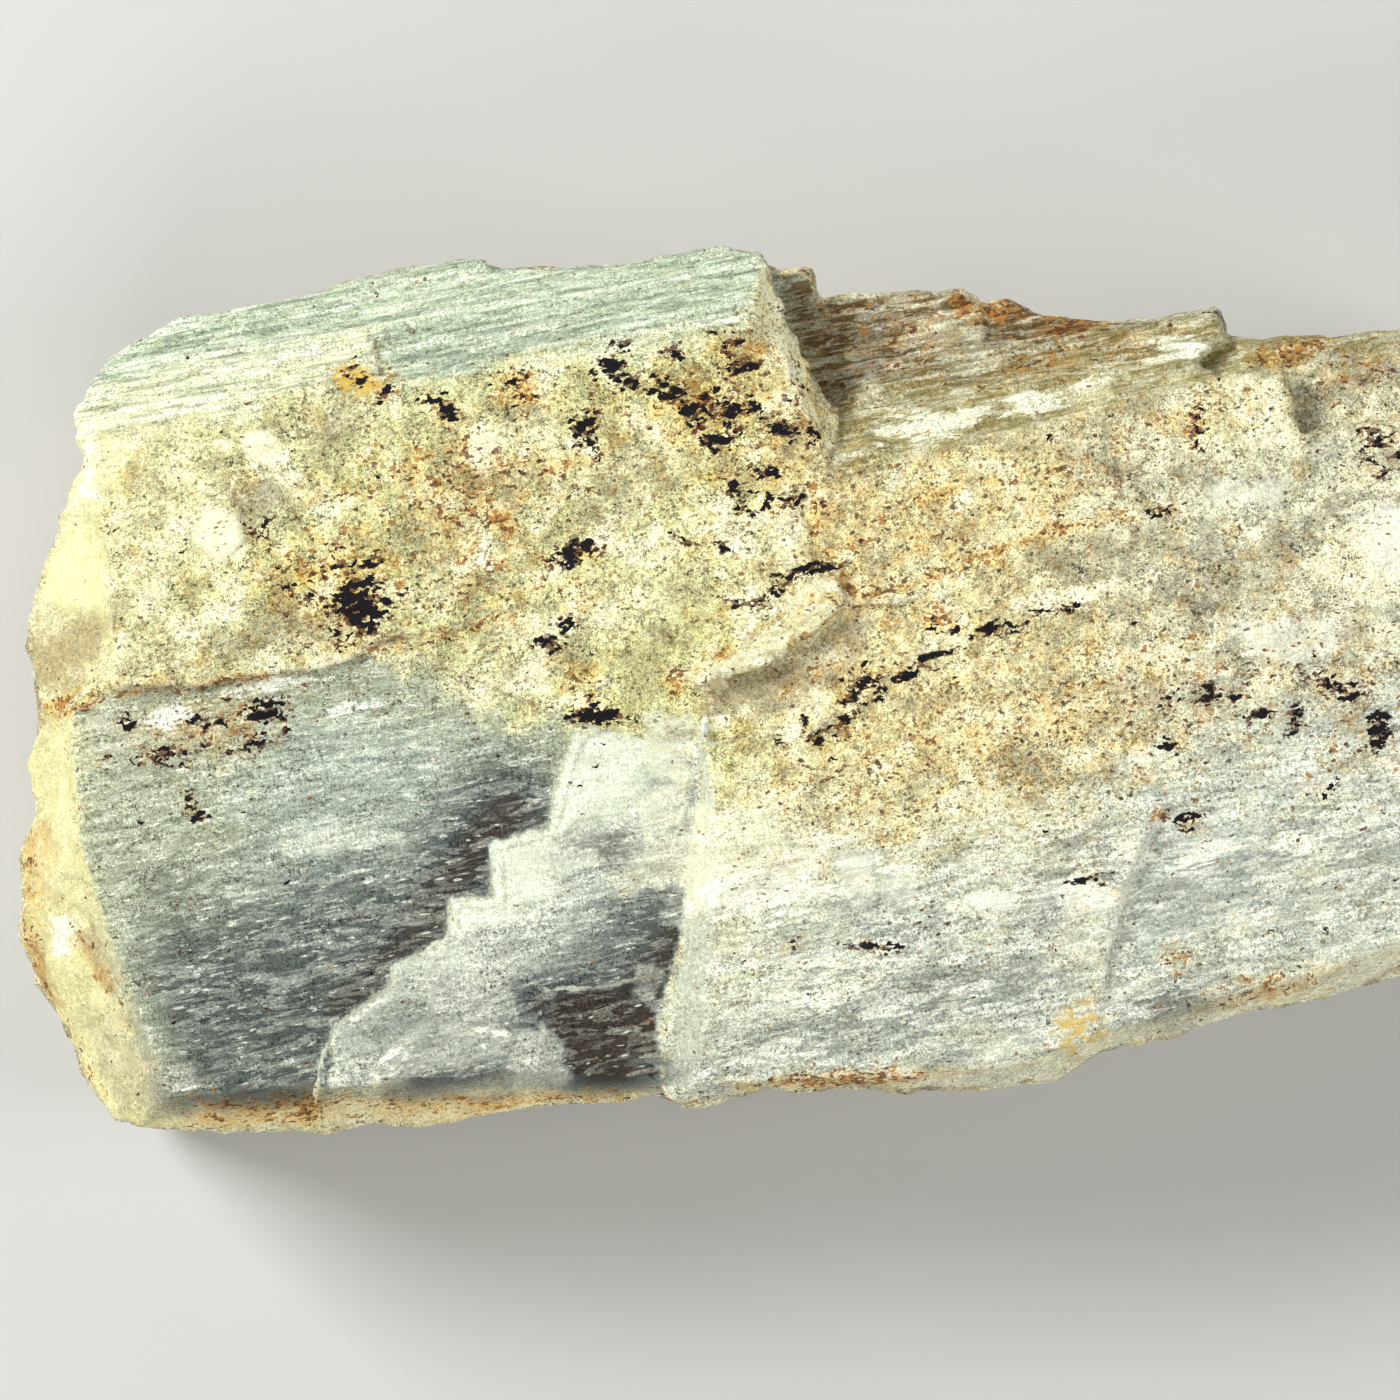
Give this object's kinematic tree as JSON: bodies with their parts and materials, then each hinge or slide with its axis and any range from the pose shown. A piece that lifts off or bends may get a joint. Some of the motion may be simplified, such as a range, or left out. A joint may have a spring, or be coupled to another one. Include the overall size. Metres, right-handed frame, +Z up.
{
  "type": "spodumene crystal",
  "caption": "Broken bladed spodumene crystal with striated prism faces, stepped cleavage ledges and rough fractured ends, lying on a flat cleavage face.",
  "frame": {"origin": "bottom centre of the crystal's box, on the floor it lies on", "axes": "+X along the crystal's length towards its right end in the picture, +Y towards the picture's top, +Z up, towards the camera"},
  "size_m": [0.1632, 0.0886, 0.0422],
  "materials": {
    "spodumene": "granular cream crust with rust and black stains, grey glassy fresh cleavage"
  },
  "bodies": {
    "root": {"spodumene_crystal": "spodumene"}
  },
  "joints": []
}
